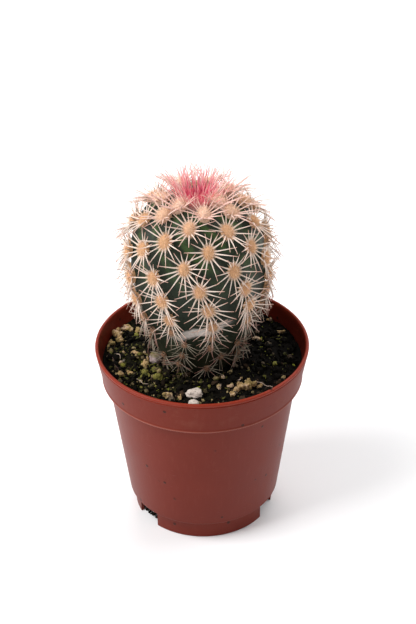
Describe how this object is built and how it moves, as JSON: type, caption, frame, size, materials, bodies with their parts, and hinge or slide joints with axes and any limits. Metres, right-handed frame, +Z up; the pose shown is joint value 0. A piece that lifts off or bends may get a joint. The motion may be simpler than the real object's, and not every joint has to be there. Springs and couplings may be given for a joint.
{
  "type": "potted round cactus",
  "caption": "Round ribbed cactus with comb-like spine clusters and a pink crown tuft, growing in soil in a small tapered plastic nursery pot.",
  "frame": {"origin": "middle of the pot's foot, on the surface it stands on", "axes": "+Z up along the pot's axis, -Y towards the front, +X to the right seen from the front"},
  "size_m": [0.055, 0.055, 0.0995],
  "materials": {
    "pot_plastic": "satin",
    "potting_soil": "matte",
    "cactus_skin": "satin",
    "areole_spines": "matte",
    "young_spines": "matte",
    "perlite": "matte",
    "mineral_crust": "matte",
    "moss": "matte",
    "pink_stone": "matte"
  },
  "bodies": {
    "root": {"crown_tuft": "young_spines", "crust_front": "mineral_crust", "crust_left": "mineral_crust", "moss_ball": "moss", "perlite_large": "perlite", "perlite_small": "perlite", "pink_stone": "pink_stone", "pot": "pot_plastic", "soil": "potting_soil", "spines_rib01_row1": "areole_spines", "spines_rib01_row2": "areole_spines", "spines_rib01_row3": "areole_spines", "spines_rib01_row4": "areole_spines", "spines_rib01_row5": "areole_spines", "spines_rib02_row1": "areole_spines", "spines_rib02_row2": "areole_spines", "spines_rib02_row3": "areole_spines", "spines_rib02_row4": "areole_spines", "spines_rib02_row5": "areole_spines", "spines_rib03_row1": "areole_spines", "spines_rib03_row2": "areole_spines", "spines_rib03_row3": "areole_spines", "spines_rib03_row4": "areole_spines", "spines_rib03_row5": "areole_spines", "spines_rib04_row1": "areole_spines", "spines_rib04_row2": "areole_spines", "spines_rib04_row3": "areole_spines", "spines_rib04_row4": "areole_spines", "spines_rib04_row5": "areole_spines", "spines_rib05_row1": "areole_spines", "spines_rib05_row2": "areole_spines", "spines_rib05_row3": "areole_spines", "spines_rib05_row4": "areole_spines", "spines_rib05_row5": "areole_spines", "spines_rib06_row1": "areole_spines", "spines_rib06_row2": "areole_spines", "spines_rib06_row3": "areole_spines", "spines_rib06_row4": "areole_spines", "spines_rib06_row5": "areole_spines", "spines_rib07_row1": "areole_spines", "spines_rib07_row2": "areole_spines", "spines_rib07_row3": "areole_spines", "spines_rib07_row4": "areole_spines", "spines_rib07_row5": "areole_spines", "spines_rib08_row1": "areole_spines", "spines_rib08_row2": "areole_spines", "spines_rib08_row3": "areole_spines", "spines_rib08_row4": "areole_spines", "spines_rib08_row5": "areole_spines", "spines_rib09_row1": "areole_spines", "spines_rib09_row2": "areole_spines", "spines_rib09_row3": "areole_spines", "spines_rib09_row4": "areole_spines", "spines_rib09_row5": "areole_spines", "spines_rib10_row1": "areole_spines", "spines_rib10_row2": "areole_spines", "spines_rib10_row3": "areole_spines", "spines_rib10_row4": "areole_spines", "spines_rib10_row5": "areole_spines", "stem": "cactus_skin"}
  },
  "joints": []
}
